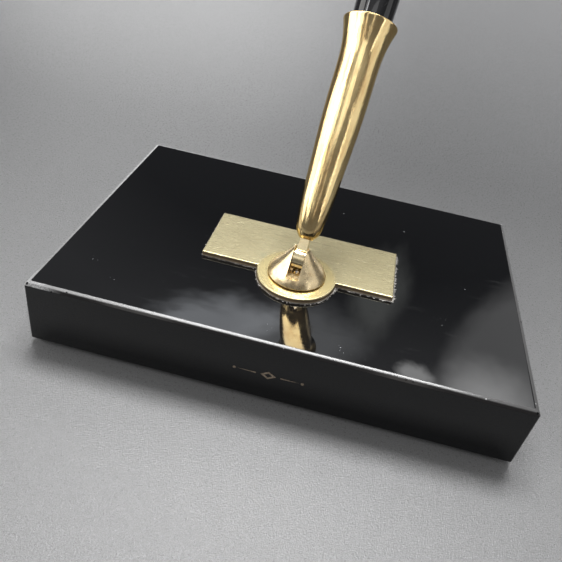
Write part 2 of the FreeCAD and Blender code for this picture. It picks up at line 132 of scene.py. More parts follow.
# Ornament on the slab's front: half sizes of the lozenge and of its hole, then distances along X
ORNAMENT_HEIGHT = 11.3
ORNAMENT_THICKNESS = 0.02
LOZENGE = (2.3, 1.5)
LOZENGE_HOLE = (1.2, 0.78)
TAPER_ROOT = 3.6
TAPER_TIP = 9.0
TAPER_HALF_WIDTH = 0.22
DOT_PLACE = 10.0
DOT_RADIUS = 0.45

STEM_RADIUS = 3.0
THREAD_PITCH = 0.8
THREAD_DEPTH = 0.3
THREAD_TOP = 8.7
BELL_RADIUS = 9.2
BELL_ROUND = 0.5
BELL_ARRIS = 0.1
EAR_RADIUS = 2.6
SLOT_WIDTH = 3.9
SLOT_FLOOR = 27.4
POCKET_RADIUS = 4.8
BALL_BORE = 1.55
BALL_BORE_FOOT = 13.0
PIN_RADIUS = 1.0

# Flank of the bell, from its rounded foot to its rounded ears: (radius, height)
BELL_FLANK = [(BELL_RADIUS, BELL_FOOT + BELL_ROUND), (8.5, 26.5), (6.9, 28.5), (5.2, 30.5), (3.6, 32.5),
              (EAR_RADIUS, BELL_TOP - BELL_ROUND)]

KNUCKLE_RADIUS = 3.3
KNUCKLE_WIDTH = 3.5
SHANK_TOP = 6.5
SHANK_TOP_SIZE = (2.8, 3.0)
TONGUE_ARRIS = 0.16
SPIGOT_RADIUS = 1.5
SPIGOT_TOP = 11.9
BALL_RADIUS = 1.5
BALL_FLAT_ANGLE = 83
PIN_HOLE_GAP = 0.05

SHELL_WALL = 0.55
SHELL_FLOOR = 8.9
SHELL_MOUTH = 74.0
SHELL_LIP = 0.3

# Outside of the trumpet, from its closed end to its mouth: (radius, distance from the pin)
TRUMPET = [(2.0, 6.5), (3.35, 8.2), (4.2, 11.2), (4.95, 18.0), (5.6, 30.0),
           (6.3, 46.0), (6.4, 58.0), (7.0, 68.0), (8.5, SHELL_MOUTH)]

PEN_SEAT = 32.0
SECTION_TOP = 52.2
SECTION_LIP = 0.5
SECTION_BORE = 3.2
SECTION_THROAT = 2.0
NIB_ROOT = 44.0
TENON_RADIUS = 3.9
TENON_TOP = 59.0
TENON_PLAY = 1.0
RING_RADIUS = 4.72
RING_ROUND = 0.15
BARREL_FOOT = 53.0
BARREL_TOP = 182.0
BARREL_BORE = 3.5
BARREL_BORE_TOP = 112.0

# Outside of the grip and of the barrel: (radius, distance from the pin)
GRIP = [(3.95, 32.5), (3.7, 37.0), (4.65, SECTION_TOP)]
BARREL = [(4.75, BARREL_FOOT), (6.1, 74.0), (6.55, 92.0), (5.9, 122.0), (4.1, 154.0), (2.3, 180.0)]

NIB_TIP = 14.5
NIB_SHOULDER = 26.0
NIB_WALL = 0.28
NIB_HALF_WIDTH = 2.9
NIB_TIP_RADIUS = 0.75
NIB_HOLE = 25.0
NIB_HOLE_RADIUS = 0.55
NIB_SLIT = 0.14
NIB_ARRIS = 0.03


# ---- outlines -----------------------------------------------------------------------------------

def smooth(points, steps=8):
    """Natural cubic spline through the points, with that many steps between two of them."""
    points = np.array(points, float)
    gaps = np.linalg.norm(np.diff(points, axis=0), axis=1)
    rates = np.diff(points, axis=0) / gaps[:, None]
    system = np.eye(len(points))
    target = np.zeros_like(points)
    for k in range(1, len(points) - 1):
        system[k, k - 1:k + 2] = gaps[k - 1], 2 * (gaps[k - 1] + gaps[k]), gaps[k]
        target[k] = 6 * (rates[k] - rates[k - 1])
    bends = np.linalg.solve(system, target)
    line = []
    for k, gap in enumerate(gaps):
        for share in np.arange(steps) / steps:
            near, far = gap * share, gap * (1 - share)
            curve = (bends[k] * far ** 3 + bends[k + 1] * near ** 3) / (6 * gap)
            chord = (points[k] / gap - bends[k] * gap / 6) * far
            line.append(curve + chord + (points[k + 1] / gap - bends[k + 1] * gap / 6) * near)
    line.append(points[-1])
    return [tuple(point) for point in line]


def arc(centre, radius, start, end, steps=8):
    """Points on a circle from one angle to another, in degrees."""
    angles = np.radians(np.linspace(start, end, steps + 1))
    return [(centre[0] + radius * math.cos(angle), centre[1] + radius * math.sin(angle)) for angle in angles]


def thread(radius, foot, top):
    """Grooves one pitch apart from foot to top: (radius, height)"""
    line = [(radius, foot)]
    for turn in range(int((top - foot) / THREAD_PITCH)):
        crest = foot + turn * THREAD_PITCH
        line += [(radius - THREAD_DEPTH, crest + THREAD_PITCH / 2), (radius, crest + THREAD_PITCH)]
    return line


# ---- solids -------------------------------------------------------------------------------------

def lathe(outline, segments=SEGMENTS):
    """Closed outline of (radius, height) turned about Z."""
    shape = bmesh.new()
    rings = []
    for radius, height in outline:
        if radius < ON_AXIS:
            rings.append([shape.verts.new((0, 0, height))] * segments)
            continue
        turns = [2 * math.pi * k / segments for k in range(segments)]
        rings.append([shape.verts.new((radius * math.cos(a), radius * math.sin(a), height)) for a in turns])
    for ring, above in zip(rings, rings[1:] + rings[:1]):
        for k in range(segments):
            corners = [ring[k], ring[k - 1], above[k - 1], above[k]]
            corners = [v for i, v in enumerate(corners) if v not in corners[:i]]
            if len(corners) > 2:
                shape.faces.new(corners)
    bmesh.ops.recalc_face_normals(shape, faces=shape.faces)
    return shape


def rod(radius, foot, top, segments=SEGMENTS):
    return lathe([(0, foot), (radius, foot), (radius, top), (0, top)], segments)


def cross_rod(radius, half_length, segments=SEGMENTS):
    """Rod along X, centred on the origin."""
    shape = rod(radius, -half_length, half_length, segments)
    return moved(shape, Matrix.Rotation(math.pi / 2, 4, "Y"))


def prism(outline, foot, top):
    """Flat outline of (x, y) raised from foot to top."""
    shape = bmesh.new()
    low = [shape.verts.new((x, y, foot)) for x, y in outline]
    high = [shape.verts.new((x, y, top)) for x, y in outline]
    shape.faces.new(low[::-1])
    shape.faces.new(high)
    for k in range(len(outline)):
        shape.faces.new([low[k - 1], low[k], high[k], high[k - 1]])
    bmesh.ops.recalc_face_normals(shape, faces=shape.faces)
    return shape


def stacked(outline_at, levels):
    """Closed solid whose outline, outline_at(inset), is drawn in by its own inset at each (inset, height)."""
    shape = bmesh.new()
    rings = [[shape.verts.new((x, y, height)) for x, y in outline_at(inset)] for inset, height in levels]
    shape.faces.new(rings[0][::-1])
    shape.faces.new(rings[-1])
    for ring, above in zip(rings, rings[1:]):
        for k in range(len(ring)):
            shape.faces.new([ring[k - 1], ring[k], above[k], above[k - 1]])
    bmesh.ops.recalc_face_normals(shape, faces=shape.faces)
    return shape


def block(width, depth, foot, top):
    x, y = width / 2, depth / 2
    return prism([(-x, -y), (x, -y), (x, y), (-x, y)], foot, top)


def moved(shape, matrix):
    bmesh.ops.transform(shape, matrix=matrix, verts=shape.verts)
    return shape


def shifted(shape, x, y, z):
    return moved(shape, Matrix.Translation((x, y, z)))


def as_object(shape):
    mesh = bpy.data.meshes.new("shape")
    shape.to_mesh(mesh)
    shape.free()
    thing = bpy.data.objects.new("shape", mesh)
    bpy.context.scene.collection.objects.link(thing)
    return thing


def settled(thing, helpers=()):
    """The object's shape with its modifiers applied; the object and its helpers are removed."""
    graph = bpy.context.evaluated_depsgraph_get()
    mesh = bpy.data.meshes.new_from_object(thing.evaluated_get(graph))
    shape = bmesh.new()
    shape.from_mesh(mesh)
    for old in (thing, *helpers):
        bpy.data.objects.remove(old)
    bpy.data.meshes.remove(mesh)
    return shape


def combined(shape, others, operation="DIFFERENCE"):
    """The shape with the others cut out of it, or joined to it."""
    thing = as_object(shape)
    helpers = [as_object(other) for other in others]
    for helper in helpers:
        change = thing.modifiers.new("combine", "BOOLEAN")
        change.operation = operation
        change.solver = "EXACT"
        change.object = helper
    result = settled(thing, helpers)
    bmesh.ops.remove_doubles(result, verts=result.verts, dist=WELD)
    return result


def softened(shape, width, segments, angle):
    """The shape in triangles, with every edge that bends by more than the angle rounded."""
    bmesh.ops.triangulate(shape, faces=shape.faces)
    thing = as_object(shape)
    bevel = thing.modifiers.new("soften", "BEVEL")
    bevel.width = width
    bevel.segments = segments
    bevel.limit_method = "ANGLE"
    bevel.angle_limit = math.radians(angle)
    bevel.miter_outer = "MITER_ARC"
    return settled(thing)


def add_piece(name, shape, place, body, materials, replaces=(), crease=30):
    """Makes a piece of a shape drawn in millimetres, and lets it ride on its body."""
    mesh = bpy.data.meshes.new(name)
    shape.to_mesh(mesh)
    shape.free()
    spots = np.empty(3 * len(mesh.vertices), np.float32)
    mesh.vertices.foreach_get("co", spots)
    mesh.attributes.new("spot", "FLOAT_VECTOR", "POINT").data.foreach_set("vector", spots)
    mesh.transform(place)
    mesh.shade_smooth()
    mesh.set_sharp_from_angle(angle=math.radians(crease))
    for material in materials:
        mesh.materials.append(material)
    piece = bpy.data.objects.new(name, mesh)
    bpy.context.scene.collection.objects.link(piece)
    flats = piece.modifiers.new("flats_stay_flat", "WEIGHTED_NORMAL")
    flats.keep_sharp = True
    flats.weight = 100
    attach(piece, body)
    if replaces:
        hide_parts(*replaces)
    return piece


# ---- materials ----------------------------------------------------------------------------------

class Finish:
    """A node material, with short calls that add its nodes and join them."""

    def __init__(self, name, own_spot=True):
        self.material = bpy.data.materials.new(name)
        self.material.use_nodes = True
        self.tree = self.material.node_tree
        self.surface = self.tree.nodes["Principled BSDF"]
        if own_spot:
            self.spot = self.add("ShaderNodeAttribute", attribute_name="spot").outputs["Vector"]
        else:
            place = self.add("ShaderNodeTexCoord").outputs["Object"]
            self.spot = self.add("ShaderNodeVectorMath", {0: place, 3: 1 / MM}, operation="SCALE").outputs[0]

    def add(self, kind, inputs=None, **settings):
        node = self.tree.nodes.new(kind)
        for key, value in settings.items():
            setattr(node, key, value)
        for socket, value in (inputs or {}).items():
            self.feed(node.inputs[socket], value)
        return node

    def feed(self, socket, value):
        if isinstance(value, bpy.types.NodeSocket):
            self.tree.links.new(value, socket)
        elif isinstance(value, tuple) and len(value) == 3 and socket.type == "RGBA":
            socket.default_value = (*value, 1.0)
        else:
            socket.default_value = value

    def set(self, **inputs):
        """Feeds the surface: names have _ for a blank."""
        for name, value in inputs.items():
            self.feed(self.surface.inputs[name.replace("_", " ")], value)
        return self

    def stretched(self, x, y, z):
        return self.add("ShaderNodeMapping", {"Vector": self.spot, "Scale": (x, y, z)}).outputs[0]

    def grain(self, scale, detail=3, rough=0.55, spot=None, distortion=0.0):
        """Noise from 0 to 1, with scale blobs to a millimetre."""
        return self.add("ShaderNodeTexNoise", {"Vector": spot or self.spot, "Scale": scale, "Detail": detail,
                                               "Roughness": rough, "Distortion": distortion}).outputs[0]

    def cells(self, scale, output, feature="F1", spot=None):
        return self.add("ShaderNodeTexVoronoi", {"Vector": spot or self.spot, "Scale": scale},
                        feature=feature).outputs[output]

    def range(self, value, low, high, to_low=0.0, to_high=1.0):
        """Smooth step from to_low at low to to_high at high."""
        return self.add("ShaderNodeMapRange", {0: value, 1: low, 2: high, 3: to_low, 4: to_high},
                        interpolation_type="SMOOTHSTEP").outputs[0]

    def maths(self, operation, a, b):
        return self.add("ShaderNodeMath", {0: a, 1: b}, operation=operation).outputs[0]

    def times(self, a, b):
        return self.maths("MULTIPLY", a, b)

    def largest(self, a, b):
        return self.maths("MAXIMUM", a, b)

    def blend(self, share, a, b):
        """Colour a where share is 0, and b where it is 1."""
        return self.add("ShaderNodeMix", {0: share, 6: a, 7: b}, data_type="RGBA").outputs[2]

    def between(self, share, a, b):
        """Number a where share is 0, and b where it is 1."""
        return self.add("ShaderNodeMix", {0: share, 2: a, 3: b}, data_type="FLOAT").outputs[0]

    def distance(self, x, y, z):
        return self.add("ShaderNodeVectorMath", {0: self.spot, 1: (x, y, z)}, operation="DISTANCE").outputs[1]

    def axis(self, which):
        return self.add("ShaderNodeSeparateXYZ", {0: self.spot}).outputs[which]

    def bump(self, height, depth, strength=1.0):
        """Bump that is depth millimetres from low to high."""
        return self.add("ShaderNodeBump", {"Height": height, "Distance": depth * MM,
                                           "Strength": strength}).outputs[0]

    def specks(self, scale, size, share):
        """Mask of round specks: a share of the cells holds one, of up to that many cells in radius."""
        chance = self.add("ShaderNodeSeparateColor", {0: self.cells(scale, "Color")})
        held = self.maths("GREATER_THAN", chance.outputs[0], 1 - share)
        radius = self.times(chance.outputs[1], size)
        inside = self.maths("LESS_THAN", self.cells(scale, "Distance"), radius)
        return self.times(held, inside)

    def hairs(self, scale, width, amount, spot):
        """Mask of long thin lines, broken up so that only part of them shows."""
        edge = self.cells(scale, "Distance", "DISTANCE_TO_EDGE", spot)
        line = self.range(edge, 0.0, width, 1.0, 0.0)
        return self.times(line, self.range(self.grain(scale * 2), 1 - amount, 1.05 - amount))


DUST = (0.50, 0.52, 0.55)

# Where dust has gathered on the glass: (x, y, radius)
DUSTY = [(-4.5, -44.5, 3.0), (-52.0, -19.0, 3.0), (-50.0, -40.0, 2.5), (-36.0, 12.0, 2.5),
         (-61.0, -34.0, 2.5), (19.0, -45.0, 3.5), (46.0, -22.0, 3.0), (55.0, -2.0, 2.0)]

# Depths under the slab's top between which loose dust, and the painted highlight along the arris, come in
TOP_SKIN = (0.1, 0.02)
ARRIS_HIGHLIGHT_SKIN = (0.5, 0.2)

# Stain on the plate, (x, y), and the radii between which the polish and the painted reflection of the bell
# round the turret fade
STAIN = (-11.5, -12.5)
POLISH_AND_REFLECTION_EDGE = (11.3, 13.2)


def black_glass():
    """Polished black glass with faint wiping smears and hairs, and dust that lies only on the top."""
    made = Finish("black_glass")
    wiped = made.range(made.grain(0.16, 5, 0.7, made.stretched(0.35, 1.5, 1.0), 0.6), 0.5, 0.72)
    smear = made.times(wiped, made.range(made.grain(0.035, 2), 0.35, 0.65))
    gathered = 0.0
    for x, y, radius in DUSTY:
        near = made.range(made.distance(x, y, SLAB_HIGH.z), radius * 0.3, radius, 1.0, 0.0)
        gathered = made.largest(gathered, near)
    fine = made.times(made.specks(1.9, 0.26, 0.2), gathered)
    on_top = made.range(made.axis(2), SLAB_HIGH.z - TOP_SKIN[0], SLAB_HIGH.z - TOP_SKIN[1])
    stray = made.times(made.specks(0.3, 0.07, 0.08), on_top)
    dust = made.largest(fine, stray)
    hairs = made.hairs(0.07, 0.0009, 0.30, made.stretched(1.0, 0.4, 1.0))
    marks = made.largest(dust, made.times(hairs, 0.25))
    rough = made.maths("ADD", made.times(smear, 0.14), 0.015)
    return made.set(Base_Color=made.blend(marks, (0.0030, 0.0032, 0.0038), DUST), IOR=1.52,
                    Roughness=made.between(marks, rough, 0.7),
                    Normal=made.bump(made.grain(0.05, 2), 0.05, 0.4)).material


def ground_glass():
    """The slab's bevels: ground, polished a little less than its faces, with a painted highlight in pale grey
    along the top arris, and broken white at the front left corner."""
    made = Finish("ground_glass")
    scuff = made.range(made.distance(SLAB_LOW.x, SLAB_LOW.y, SLAB_HIGH.z), 4.0, 12.0, 1.0, 0.0)
    broken = made.range(made.grain(2.2, 6, 0.75), 0.35, 0.65, 0.25, 0.85)
    # painted highlight: the top arris is blended toward pale grey, more at the left, in place of the lamp's
    # reflection
    rubbed = made.times(made.range(made.axis(2), SLAB_HIGH.z - ARRIS_HIGHLIGHT_SKIN[0], SLAB_HIGH.z - ARRIS_HIGHLIGHT_SKIN[1]),
                        made.range(made.axis(0), -60, 40, 0.42, 0.14))
    chipped = made.times(made.specks(1.1, 0.3, 0.05), 0.7)
    # worn holds the real scuffs and chips together with the painted highlight along the arris
    worn = made.largest(made.times(scuff, broken), made.maths("ADD", chipped, rubbed))
    rough = made.range(made.grain(0.5, 4), 0.3, 0.7, 0.05, 0.12)
    return made.set(Base_Color=made.blend(worn, (0.010, 0.009, 0.009), (0.46, 0.46, 0.46)), IOR=1.52,
                    Roughness=made.between(worn, rough, 0.55),
                    Normal=made.bump(made.grain(2.5, 5, 0.7), 0.008, 0.4)).material


def felt():
    """Dense black felt, napped on both faces."""
    made = Finish("felt")
    nap = made.grain(5.0, 6, 0.75)
    clump = made.grain(0.6, 3)
    shade = made.times(nap, clump)
    return made.set(Base_Color=made.blend(made.range(shade, 0.1, 0.5), (0.006, 0.006, 0.006),
                                          (0.035, 0.036, 0.034)),
                    Roughness=1.0, Sheen_Weight=0.4, Sheen_Roughness=0.6,
                    Normal=made.bump(nap, 0.25, 0.8)).material


def dulled(made, brush, scratch):
    """Colour of brass that has dulled between its brush marks, with one greenish stain."""
    tarnish = made.range(made.grain(0.09, 4, 0.6), 0.4, 0.7)
    stain = made.range(made.distance(*STAIN, PLATE_HIGH.z), 0.4, 3.0, 0.35, 0.0)
    colour = made.blend(tarnish, (0.58, 0.515, 0.315), (0.49, 0.43, 0.26))
    colour = made.blend(made.range(brush, 0.35, 0.7), colour, (0.36, 0.31, 0.18))
    colour = made.blend(made.times(scratch, 0.7), colour, (0.76, 0.70, 0.50))
    return made.blend(stain, colour, (0.36, 0.36, 0.24))


def brushed_brass():
    """Brass plate, brushed along its length, dulled, brighter round the turret from polish and from a painted
    reflection of the bell, and dark at its sides with a paler ledge."""
    made = Finish("brushed_brass")
    brush = made.grain(1.0, 6, 0.75, made.stretched(0.16, 7.0, 1.0))
    scratch = made.hairs(0.24, 0.010, 0.42, made.stretched(0.6, 1.5, 1.0))
    spots = made.specks(1.2, 0.2, 0.07)
    # brighter brass round the turret: partly polish, partly a painted reflection of the bell
    polish_and_reflection = made.range(made.distance(0, SWIVEL_Y, PLATE_HIGH.z), *POLISH_AND_REFLECTION_EDGE, 1.0, 0.0)
    colour = made.blend(polish_and_reflection, dulled(made, brush, scratch), (0.64, 0.53, 0.265))
    colour = made.blend(made.times(spots, 0.5), colour, (0.20, 0.16, 0.09))
    rough = made.between(polish_and_reflection, made.range(brush, 0.3, 0.7, 0.24, 0.33), 0.26)
    height = made.maths("SUBTRACT", brush, made.times(scratch, 0.8))
    brim = PLATE_HIGH.z - PLATE_ROUND
    side = made.range(made.axis(2), brim - 0.05, brim + 0.1, 1.0, 0.0)
    ledge = made.range(made.axis(2), PLATE_LOW.z + 0.25, PLATE_LOW.z + 0.4, 1.0, 0.0)
    colour = made.blend(side, colour, made.blend(ledge, (0.20, 0.14, 0.085), (0.44, 0.36, 0.24)))
    across = made.add("ShaderNodeCombineXYZ", {1: 1.0}).outputs[0]
    return made.set(Base_Color=colour, Metallic=made.between(side, 1.0, 0.35),
                    Roughness=made.between(side, rough, 0.5), Anisotropic=0.5, Tangent=across,
                    Normal=made.bump(height, 0.02, 0.8)).material


def bright_brass(name, base, deep, rough):
    """Polished brass with faint turning marks and tarnish in patches."""
    made = Finish(name)
    turning = made.grain(1.0, 3, 0.6, made.stretched(0.05, 0.05, 7.0))
    tarnish = made.range(made.grain(0.35, 4, 0.65), 0.42, 0.72)
    return made.set(Base_Color=made.blend(tarnish, base, deep), Metallic=1.0,
                    Roughness=made.range(made.grain(0.8, 4), 0.3, 0.7, rough, rough + 0.1),
                    Normal=made.bump(turning, 0.006, 0.5)).material


def gold_plate():
    """Gold-plated trumpet: drawn along its length, so that reflections break into long ragged streaks, with
    darker patches of worn plating that also serve as painted brown reflection streaks.
    """
    made = Finish("gold_plate")
    lengthwise = made.stretched(1.0, 1.0, 0.09)
    drawn = made.grain(0.42, 3, 0.55, lengthwise, 0.5)
    fine = made.grain(2.2, 4, 0.65, lengthwise)
    # darker brass of worn plating, which also paints in brown reflection streaks along the trumpet
    wear_and_reflection_streaks = made.range(made.grain(0.25, 5, 0.65, made.stretched(1.0, 1.0, 0.25)), 0.40, 0.70)
    past_foot = made.range(made.axis(2), TRUMPET[1][1], TRUMPET[2][1] + 2)
    below_mouth = made.range(made.axis(2), SHELL_MOUTH - 4, SHELL_MOUTH - 1, 1.0, 0.0)
    height = made.maths("ADD", drawn, made.times(fine, 0.25))
    height = made.times(height, made.times(past_foot, below_mouth))
    return made.set(Base_Color=made.blend(wear_and_reflection_streaks, (0.96, 0.742, 0.375), (0.80, 0.55, 0.25)), Metallic=1.0,
                    Specular_Tint=(0.55, 0.52, 0.45),
                    Roughness=made.range(made.grain(0.5, 4), 0.35, 0.7, 0.08, 0.17),
                    Normal=made.bump(height, 0.16, 0.7)).material


def glue():
    """Dried, whitish glue with dust stuck in it."""
    made = Finish("glue")
    lumps = made.grain(1.5, 5, 0.7)
    dirt = made.range(made.grain(2.2, 5, 0.75), 0.36, 0.58)
    return made.set(Base_Color=made.blend(dirt, (0.58, 0.55, 0.51), (0.10, 0.09, 0.08)),
                    Roughness=made.range(lumps, 0.3, 0.7, 0.3, 0.7),
                    Normal=made.bump(lumps, 0.12)).material


def pen_black():
    """Polished black plastic with fine handling scratches."""
    made = Finish("pen_black")
    scratch = made.hairs(0.5, 0.01, 0.45, made.stretched(1.0, 1.0, 0.12))
    haze = made.range(made.grain(0.3, 4), 0.4, 0.75, 0.03, 0.11)
    return made.set(Base_Color=made.blend(scratch, (0.006, 0.006, 0.007), (0.03, 0.03, 0.032)), IOR=1.62,
                    Roughness=made.between(scratch, haze, 0.3),
                    Normal=made.bump(made.grain(0.8, 3), 0.01, 0.4)).material


def gilt_mark():
    """Dull gilding in the front's small ornament, rubbed thin."""
    made = Finish("gilt_mark")
    rubbed = made.range(made.grain(2.2, 5, 0.7), 0.40, 0.66)
    return made.set(Base_Color=made.blend(rubbed, (0.34, 0.27, 0.20), (0.14, 0.11, 0.08)), Metallic=0.2,
                    Roughness=0.55, Normal=made.bump(made.grain(6.0, 4), 0.01)).material


def plain_metal(name, base, deep, rough, own_spot=False):
    """Turned or rolled metal that is out of sight: grain, scuffs and a little dirt."""
    made = Finish(name, own_spot)
    scuff = made.range(made.grain(1.2, 5, 0.65), 0.35, 0.7)
    fine = made.grain(5.0, 4, 0.7)
    return made.set(Base_Color=made.blend(scuff, base, deep), Metallic=1.0,
                    Roughness=made.range(fine, 0.3, 0.7, rough, rough + 0.2),
                    Normal=made.bump(fine, 0.02, 0.6)).material


def plain_plastic(name, base, deep, rough):
    """Moulded or pressed material that is out of sight: a fine matt grain with mottling."""
    made = Finish(name, own_spot=False)
    mottle = made.range(made.grain(0.8, 4), 0.35, 0.7)
    fine = made.grain(4.0, 5, 0.7)
    return made.set(Base_Color=made.blend(mottle, base, deep),
                    Roughness=made.range(fine, 0.3, 0.7, rough, 0.9),
                    Normal=made.bump(fine, 0.03, 0.6)).material


# ---- base ---------------------------------------------------------------------------------------

def chip(x, y, z, size, seed):
    """Rough pebble that takes a chip out of an edge."""
    shape = bmesh.new()
    bmesh.ops.create_icosphere(shape, subdivisions=3, radius=size)
    for vertex in shape.verts:
        lump = noise.noise(vertex.co / size * CHIP_LUMPS + Vector((seed, 0, 0)))
        vertex.co *= 1 + CHIP_ROUGHNESS * lump
    return shifted(shape, x, y, z)


def chips():
    """Pebbles along the slab's top edges, each a different lump."""
    front, top = SLAB_LOW.y + SLAB_FACET_WIDTH, SLAB_HIGH.z - SLAB_FACET_WIDTH
    left, right, back = SLAB_LOW.x, SLAB_HIGH.x, SLAB_HIGH.y
    places = [(left + 0.9, front - 0.2, top + 0.2, 0.4), (-64.6, front - 0.5, top - 0.4, 0.3),
              (-60.2, front, top + 0.35, 0.25), (36.6, front, top, 0.34), (38.6, front, top - 0.1, 0.38),
              (right - 1.0, front, top + 0.1, 0.34), (right - 0.7, -12.0, top + 0.2, 0.4),
              (-20.0, back - 0.6, top + 0.2, 0.35)]
    return [chip(*place, seed) for seed, place in enumerate(places, 1)]


def slab_outline(inset):
    """Oblong with its corners cut off: (x, y)"""
    x, y, cut = SLAB_HIGH.x - inset, SLAB_HIGH.y - inset, SLAB_CORNER_BEVEL
    return [(x, cut - y), (x, y - cut), (x - cut, y), (cut - x, y),
            (-x, y - cut), (-x, cut - y), (cut - x, -y), (x - cut, -y)]


def slab_levels():
    """Side of the slab from its foot up: bevel, wall, steep facet, and the slight roll into the top."""
    low, high = SLAB_LOW.z, SLAB_HIGH.z
    gentle, steep = SLAB_ROLL_TILTS
    centre_height = high - SLAB_ROLL_RADIUS * math.cos(math.radians(gentle))
    centre_inset = SLAB_FACET_WIDTH + SLAB_ROLL_RADIUS * math.sin(math.radians(steep))
    roll = arc((centre_inset, centre_height), SLAB_ROLL_RADIUS, 90 + steep, 90 + gentle, 3)
    wall_top = roll[0][1] - SLAB_FACET_WIDTH * math.tan(math.radians(SLAB_FACET_TILT))
    return [(SLAB_FOOT_BEVEL, low), (0, low + SLAB_FOOT_BEVEL), (0, wall_top)] + roll


def glass_slab(glass, ground):
    """Slab with its bevels, small chips in them, and the swivel's hole and well."""
    low, high = SLAB_LOW, SLAB_HIGH
    shape = stacked(slab_outline, slab_levels())
    for face in shape.faces:
        face.material_index = 0 if max(abs(part) for part in face.normal) > SQUARE_ON else 1
    shape = softened(shape, ARRIS, segments=2, angle=35)
    foot, head = low.z - OVERCUT, high.z + OVERCUT
    well = lathe([(0, foot), (WELL_RADIUS, foot), (WELL_RADIUS, WELL_TOP), (BUSH_HOLE, WELL_TOP),
                  (BUSH_HOLE, head), (0, head)])
    shape = combined(shape, [shifted(well, 0, SWIVEL_Y, 0)] + chips())
    add_piece("glass_slab", shape, BASE, "base", [glass, ground], ["base_slab"],
              crease=SLAB_CREASE)


def felt_sheet(material):
    """Felt sheet with rounded corners and a slightly ragged, softened edge."""
    x, y = FELT_HIGH.x - FELT_CORNER_RADIUS, FELT_HIGH.y - FELT_CORNER_RADIUS
    outline = []
    for cx, cy, start in ((x, y, 0), (-x, y, 90), (-x, -y, 180), (x, -y, 270)):
        outline += arc((cx, cy), FELT_CORNER_RADIUS, start, start + 90, 12)
    shape = prism(outline, FELT_LOW.z, FELT_HIGH.z)
    sides = [edge for edge in shape.edges if edge.calc_length() > FELT_CORNER_RADIUS]
    bmesh.ops.subdivide_edges(shape, edges=sides, cuts=90)
    shape = softened(shape, FELT_EDGE, segments=3, angle=60)
    for vertex in shape.verts:
        outward = Vector((vertex.co.x, vertex.co.y, 0)).normalized()
        vertex.co -= outward * FELT_RAGGED * (0.5 + 0.5 * noise.noise(vertex.co * 1.4))
    add_piece("felt_sheet", shape, BASE, "base", [material], ["base_felt"])


def plate_outline(grow):
    """Oblong with a half-round lobe in its front edge, drawn larger by grow: (x, y)"""
    half, back = PLATE_HIGH.x + grow, PLATE_HIGH.y + grow
    front, lobe = SWIVEL_Y - grow, LOBE_RADIUS + grow
    reach = math.degrees(math.asin(grow / lobe))
    corner = PLATE_CORNER + grow
    line = []
    for x, y, start in ((half - corner, back - corner, 0), (corner - half, back - corner, 90),
                        (corner - half, front + corner, 180)):
        line += arc((x, y), corner, start, start + 90, 4)
    line += arc((0, SWIVEL_Y), lobe, 180 + reach, 360 - reach, LOBE_STEPS)
    return line + arc((half - corner, front + corner), corner, 270, 360, 4)


def brass_plate(material):
    """Plate with its top arris rolled over and the bush's hole through it."""
    low, high = PLATE_LOW.z, PLATE_HIGH.z
    levels = [(0, low)] + arc((PLATE_ROUND, high - PLATE_ROUND), PLATE_ROUND, 180, 90, 5)
    hole = shifted(rod(BUSH_HOLE, low - OVERCUT, high + OVERCUT), 0, SWIVEL_Y, 0)
    shape = combined(stacked(lambda inset: plate_outline(-inset), levels), [hole])
    add_piece("brass_plate", shape, BASE, "base", [material], ["name_plate"])


def along(line, spacing):
    """Points at an even spacing on a closed line of (x, y)."""
    points = np.array(line + line[:1])
    run = np.concatenate([[0], np.cumsum(np.linalg.norm(np.diff(points, axis=0), axis=1))])
    wanted = np.arange(0, run[-1], spacing)
    return np.stack([np.interp(wanted, run, points[:, axis]) for axis in (0, 1)], axis=1)


def glue_bead(material):
    """Glue that was squeezed out all round the plate: a low fillet, and a thin ragged film on the glass."""
    line = along(plate_outline(CLEARANCE), GLUE_SPACING)
    ahead, behind = np.roll(line, -4, axis=0), np.roll(line, 4, axis=0)
    outward = np.stack([(ahead - behind)[:, 1], (behind - ahead)[:, 0]], axis=1)
    outward /= np.linalg.norm(outward, axis=1)[:, None]
    shape = bmesh.new()
    rings = []
    for (x, y), (nx, ny) in zip(line, outward):
        broad = 0.5 + 0.5 * noise.noise(Vector((x, y, 5.0)) * 0.22)
        ragged = noise.fractal(Vector((x, y, 0)) * 1.8, 0.7, 2.0, 5)
        bead = max(GLUE_LEAST, 0.07 + 0.10 * noise.noise(Vector((x, y, 2.0)) * 0.7))
        film = bead + max(GLUE_LEAST, 0.8 * broad - 0.35 + 0.8 * ragged + max(0.0, x / 80))
        height = max(0.02, 0.035 + 0.04 * noise.noise(Vector((x, y, 9.0)) * 0.6))
        profile = [(-GLUE_UNDER, 0.0), (film, 0.0), (film - GLUE_LEAST, 0.012), (bead, 0.02),
                   (bead * 0.5, height * 0.6), (0.0, height), (-GLUE_UNDER, height * 0.5)]
        rings.append([shape.verts.new((x + nx * out, y + ny * out, SLAB_HIGH.z + up)) for out, up in profile])
    for ring, following in zip(rings, rings[1:] + rings[:1]):
        for k in range(len(ring)):
            shape.faces.new([ring[k - 1], ring[k], following[k], following[k - 1]])
    bmesh.ops.recalc_face_normals(shape, faces=shape.faces)
    add_piece("glue_bead", shape, BASE, "base", [material], crease=60)


def lozenge(half_width, half_height):
    return [(-half_width, 0), (0, -half_height), (half_width, 0), (0, half_height)]


